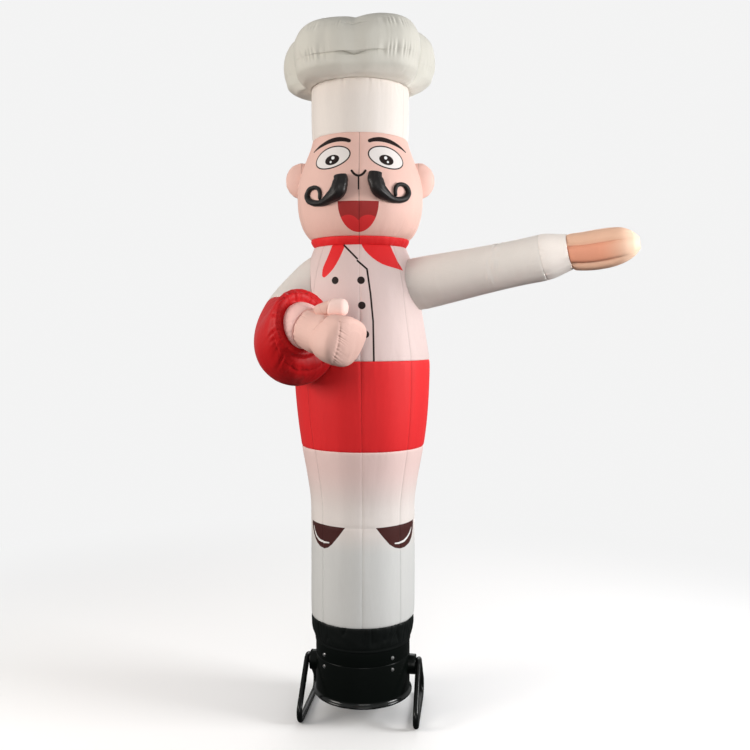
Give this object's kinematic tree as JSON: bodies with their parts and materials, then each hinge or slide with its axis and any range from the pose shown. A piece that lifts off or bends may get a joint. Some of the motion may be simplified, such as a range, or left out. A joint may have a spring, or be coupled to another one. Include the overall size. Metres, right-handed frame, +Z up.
{
  "type": "inflatable air dancer on its blower and stand",
  "caption": "Inflatable cloth chef with a bent arm and an outstretched arm, held up by the air of the blower and stand that it is tied to.",
  "frame": {"origin": "middle of the floor under the whole object, at the level that the side frames' rails rest on", "axes": "+Z up, the figure faces -Y, and its straight arm points to +X"},
  "size_m": [1.5716, 1.0348, 3.0553],
  "materials": {
    "white_cloth": "off-white woven polyester, slightly glossy",
    "hat_cloth": "cream-grey woven polyester, slightly glossy",
    "red_cloth": "red woven polyester, slightly glossy",
    "skin_cloth": "pale pink woven polyester, slightly glossy",
    "salmon_cloth": "salmon woven polyester, slightly glossy",
    "black_cloth": "black woven polyester",
    "black_plastic": "glossy black",
    "black_paint": "glossy black",
    "bolt_steel": "plain"
  },
  "bodies": {
    "root": {"trousers": "white_cloth", "waist_sash": "red_cloth", "jacket": "white_cloth", "neck_scarf": "red_cloth", "head": "skin_cloth", "ear_left": "skin_cloth", "ear_right": "skin_cloth", "moustache_left": "black_cloth", "moustache_right": "black_cloth", "hat_band": "hat_cloth", "hat_crown": "hat_cloth", "straight_sleeve": "white_cloth", "straight_cuff": "white_cloth", "straight_hand": "salmon_cloth", "bent_sleeve": "white_cloth", "bent_forearm": "red_cloth", "bent_cuff": "white_cloth", "fist": "skin_cloth", "thumb": "skin_cloth", "boot_cuff": "black_cloth", "drum_upper": "black_plastic", "drum_lower": "black_plastic", "hub_left": "black_plastic", "hub_right": "black_plastic", "side_frame_left": "black_paint", "side_frame_right": "black_paint", "bolt_low_1": "bolt_steel", "bolt_low_2": "bolt_steel", "bolt_low_3": "bolt_steel", "bolt_low_4": "bolt_steel", "bolt_high_1": "bolt_steel", "bolt_high_2": "bolt_steel", "bolt_high_3": "bolt_steel", "bolt_high_4": "bolt_steel"}
  },
  "joints": []
}
